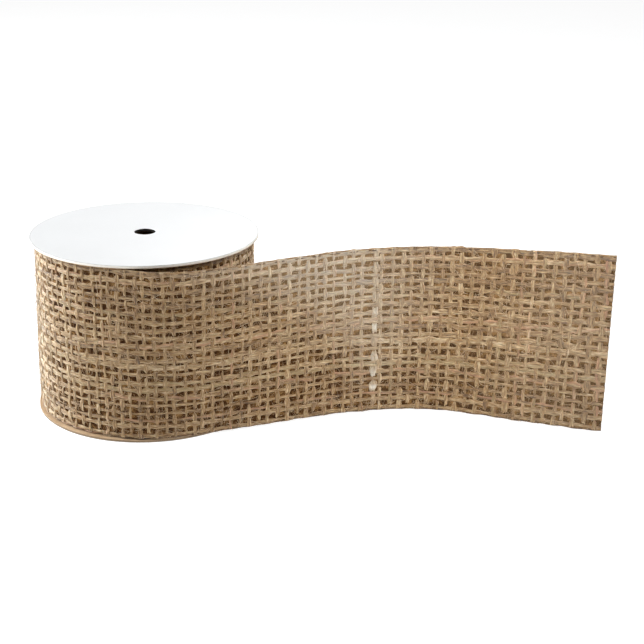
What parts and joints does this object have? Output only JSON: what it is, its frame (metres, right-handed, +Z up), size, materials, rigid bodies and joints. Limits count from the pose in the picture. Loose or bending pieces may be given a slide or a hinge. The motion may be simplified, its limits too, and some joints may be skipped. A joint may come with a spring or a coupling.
{
  "type": "ribbon spool",
  "caption": "Roll of woven jute ribbon on a white paperboard spool, standing on end with its loose end drawn off in a gentle curve.",
  "frame": {"origin": "on the spindle axis, in the plane of the flange face that the spool stands on", "axes": "+Z up along the spindle axis, +X along the way the loose end is drawn off, -Y towards the side where the ribbon leaves the roll"},
  "size_m": [0.211, 0.0851, 0.0663],
  "materials": {
    "white_paper": "satin",
    "greyboard": "matte",
    "kraft_paper": "matte",
    "core_paper": "matte",
    "hot_melt_glue": "gloss",
    "clear_tape": "satin",
    "jute": "matte"
  },
  "bodies": {
    "spool": {"top_flange_face": "white_paper", "top_flange_board": "greyboard", "top_flange_liner": "kraft_paper", "bottom_flange_face": "white_paper", "bottom_flange_board": "greyboard", "bottom_flange_liner": "kraft_paper", "core_inner_ply": "core_paper", "core_middle_ply": "core_paper", "core_outer_ply": "core_paper", "top_glue_bead": "hot_melt_glue", "bottom_glue_bead": "hot_melt_glue", "core_tape": "clear_tape", "wound_ribbon": "jute"},
    "loose_turn": {"outer_turn": "jute"},
    "loose_end": {"ribbon_tail": "jute"}
  },
  "joints": [
    {"name": "spool_turn", "type": "hinge", "parent": "spool", "child": "loose_turn", "pos_m": [0, 0, 0], "axis": [0, 0, 1], "continuous": true},
    {"name": "tail_swing", "type": "hinge", "parent": "loose_turn", "child": "loose_end", "pos_m": [-0.01241, -0.03818, 0.03315], "axis": [0, 0, 1], "range_deg": [-75, 3]}
  ]
}
